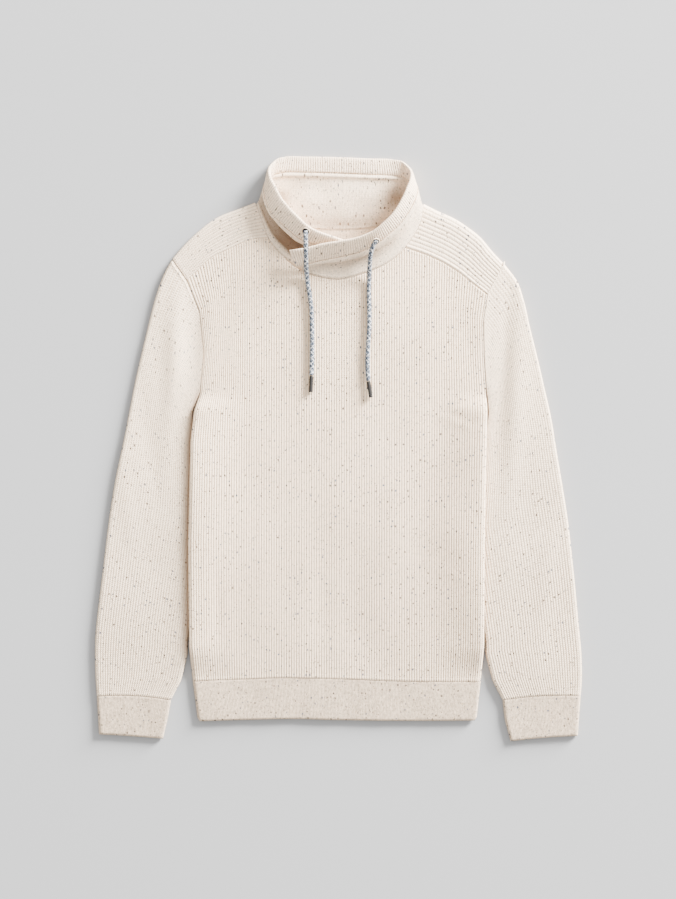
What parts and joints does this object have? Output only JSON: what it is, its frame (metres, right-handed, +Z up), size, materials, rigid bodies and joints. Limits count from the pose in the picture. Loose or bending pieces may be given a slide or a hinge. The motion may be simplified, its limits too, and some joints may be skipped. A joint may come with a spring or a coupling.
{
  "type": "cowl neck sweater",
  "caption": "Knitted pullover laid flat, with fine vertical ribs, long sleeves, ribbed shoulder yokes and a crossover funnel collar with a drawstring.",
  "frame": {"origin": "on the surface that the garment lies on, under the centre of its outline", "axes": "+X to the right of the picture, +Y from the hem towards the collar, +Z up off the surface"},
  "size_m": [0.6664, 0.8011, 0.0457],
  "materials": {
    "ribbed_knit": "flecked cream rib knit",
    "plain_knit": "flecked cream plain knit",
    "collar_knit": "flecked cream rib and plain knit",
    "string": "braided blue-grey and white",
    "string_tip": "dark dipped end"
  },
  "bodies": {
    "root": {"back": "plain_knit", "front": "ribbed_knit", "yoke_left": "ribbed_knit", "yoke_right": "ribbed_knit", "sleeve_left": "ribbed_knit", "sleeve_right": "ribbed_knit", "cuff_left": "plain_knit", "cuff_right": "plain_knit", "hem_band": "plain_knit", "collar": "collar_knit", "collar_band": "collar_knit", "cord_left": "string", "cord_right": "string", "tip_left": "string_tip", "tip_right": "string_tip"}
  },
  "joints": []
}
